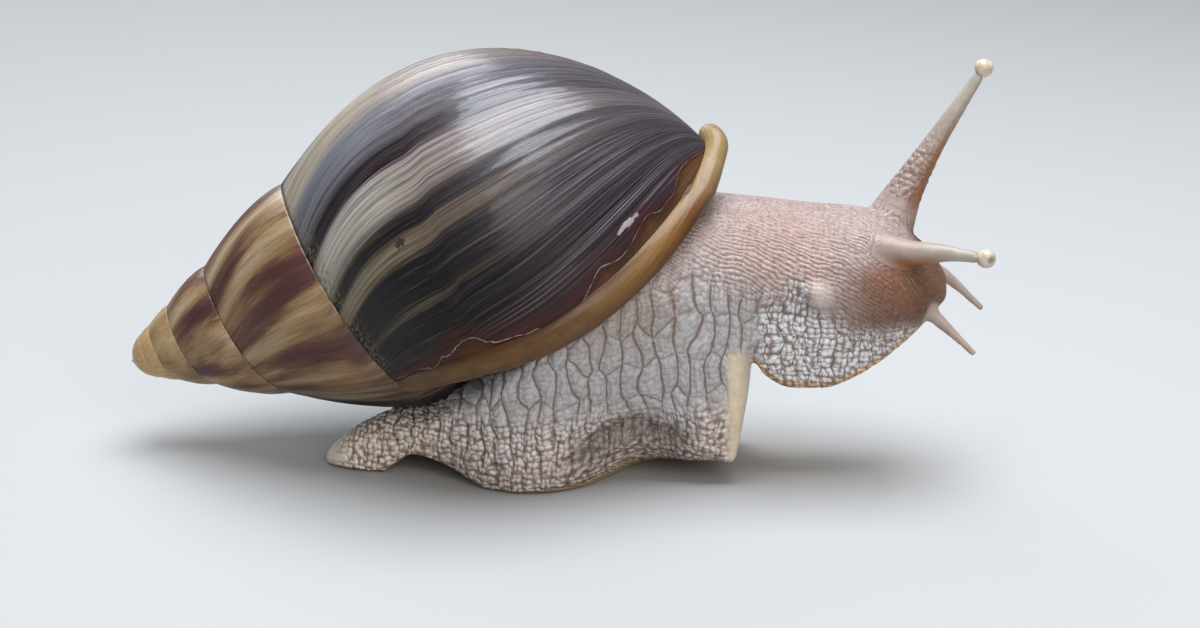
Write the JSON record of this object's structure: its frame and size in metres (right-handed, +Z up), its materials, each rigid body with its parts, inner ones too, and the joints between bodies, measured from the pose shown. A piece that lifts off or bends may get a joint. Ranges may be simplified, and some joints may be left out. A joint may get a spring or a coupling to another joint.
{
  "type": "giant african land snail",
  "caption": "Life-size still model of a crawling land snail with a tall spiral shell, raised head and neck, and a broad foot.",
  "frame": {"origin": "on the floor, in the middle of the bounding box, under the shell", "axes": "+X from the tail and the apex of the shell towards the head, +Y to the snail's left, +Z up"},
  "size_m": [0.1194, 0.05, 0.0574],
  "materials": {
    "shell_tan": "satin, worn",
    "shell_dark": "satin, with fine growth lines",
    "shell_lip": "glossy",
    "mantle": "moist",
    "skin": "moist, covered in raised tubercles",
    "tentacle_skin": "moist, nearly smooth",
    "eye": "glossy"
  },
  "bodies": {
    "root": {"shell_apex": "shell_tan", "shell_spire_whorl": "shell_tan", "shell_penultimate_whorl": "shell_tan", "shell_body_whorl": "shell_dark", "shell_lip": "shell_lip", "mantle_collar": "mantle", "tail": "skin", "foot_middle": "skin", "foot_front": "skin", "neck": "skin", "head": "skin", "snout": "skin", "upper_tentacle_right_base": "tentacle_skin", "upper_tentacle_right_tip": "tentacle_skin", "upper_tentacle_left_base": "tentacle_skin", "upper_tentacle_left_tip": "tentacle_skin", "lower_tentacle_right": "tentacle_skin", "lower_tentacle_left": "tentacle_skin", "eye_right": "eye", "eye_left": "eye"}
  },
  "joints": []
}
